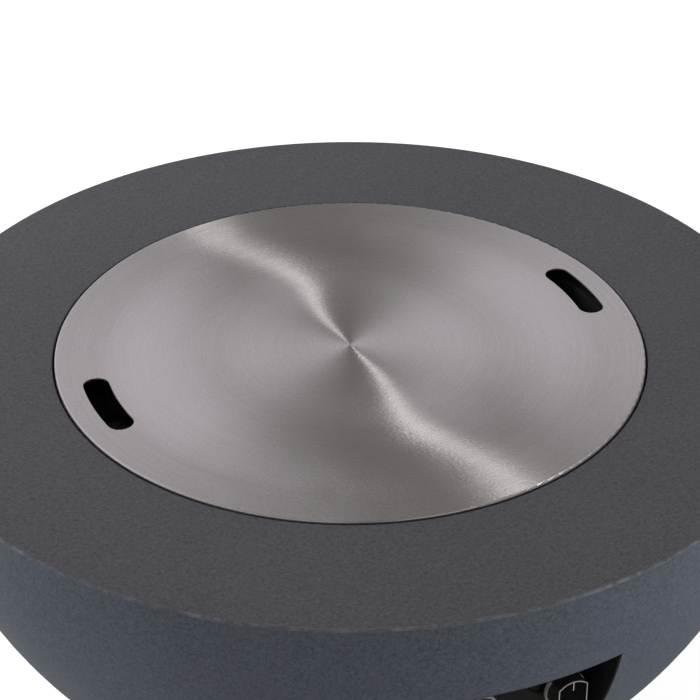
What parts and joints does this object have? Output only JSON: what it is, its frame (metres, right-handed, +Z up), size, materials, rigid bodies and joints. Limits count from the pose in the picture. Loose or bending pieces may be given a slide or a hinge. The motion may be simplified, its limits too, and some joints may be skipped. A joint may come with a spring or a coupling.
{
  "type": "gas fire pit",
  "caption": "Round gas fire pit: half-sphere concrete bowl with a flat rim, lift-off brushed steel lid over a ring burner in lava stones, and a recessed panel with a push-turn knob and igniter.",
  "frame": {"origin": "on the ground under the centre of the bowl", "axes": "+Z up; the control panel faces -Y; the lid's finger slots lie on the X axis"},
  "size_m": [0.75, 0.75, 0.3215],
  "materials": {
    "concrete": "matte",
    "lava": "matte",
    "lid_steel": "satin",
    "panel_steel": "satin",
    "burner_steel": "satin",
    "black_paint": "matte",
    "zinc": "satin",
    "brass": "satin",
    "cast_alloy": "matte",
    "spindle_steel": "satin",
    "knob_black": "gloss",
    "bright_trim": "polished",
    "button_black": "satin",
    "barrel_plastic": "matte",
    "battery_case": "satin",
    "electrode_ceramic": "gloss",
    "rubber": "matte",
    "lead_silicone": "satin",
    "fibre": "matte"
  },
  "bodies": {
    "fire_pit": {"base_ring": "concrete", "battery": "battery_case", "bowl_shell": "concrete", "burner_locknut": "zinc", "burner_pan": "black_paint", "burner_saddles": "burner_steel", "button_spring": "burner_steel", "control_box": "black_paint", "control_box_screws": "zinc", "control_panel": "panel_steel", "electrode_lead": "lead_silicone", "electrode_wire": "burner_steel", "foot_screws": "zinc", "gas_hose": "rubber", "gas_jet": "brass", "gas_tap": "cast_alloy", "hose_nuts": "brass", "igniter_barrel": "barrel_plastic", "igniter_bezel": "bright_trim", "igniter_nut": "barrel_plastic", "igniter_terminal": "brass", "inlet_nipple": "brass", "lava_stones": "lava", "mixer_tube": "zinc", "pan_ledge": "concrete", "pan_screws": "zinc", "pan_seal": "fibre", "panel_screws": "zinc", "rim_slab": "concrete", "ring_burner": "burner_steel", "rubber_feet": "rubber", "saddle_screws": "zinc", "safety_magnet": "brass", "sensor_bracket": "burner_steel", "sensor_guard": "burner_steel", "sensor_screws": "zinc", "spark_electrode": "electrode_ceramic", "spindle_spring": "burner_steel", "tap_screws": "zinc", "thermocouple": "burner_steel", "thermocouple_lead": "brass", "thermocouple_nut": "brass"},
    "lid": {"lid": "lid_steel"},
    "tap_push": {"push_rod": "brass"},
    "control_knob": {"tap_spindle": "spindle_steel", "knob": "knob_black", "knob_trim": "bright_trim", "knob_ring": "bright_trim"},
    "igniter_push": {"igniter_button": "button_black"}
  },
  "joints": [
    {"name": "lid_lift", "type": "slide", "parent": "fire_pit", "child": "lid", "axis": [0, 0, 1], "range_m": [0, 0.3]},
    {"name": "knob_push", "type": "slide", "parent": "fire_pit", "child": "tap_push", "axis": [0, 1, 0], "range_m": [0, 0.004], "stiffness_N_per_m": 2000, "springref_m": -0.003, "deforming": ["spindle_spring"]},
    {"name": "knob_turn", "type": "hinge", "parent": "tap_push", "child": "control_knob", "pos_m": [0.036, -0.322, 0.184], "axis": [0, -1, 0], "range_deg": [0, 180]},
    {"name": "igniter_press", "type": "slide", "parent": "fire_pit", "child": "igniter_push", "axis": [0, 1, 0], "range_m": [0, 0.003], "stiffness_N_per_m": 1200, "springref_m": -0.003, "deforming": ["button_spring"]}
  ]
}
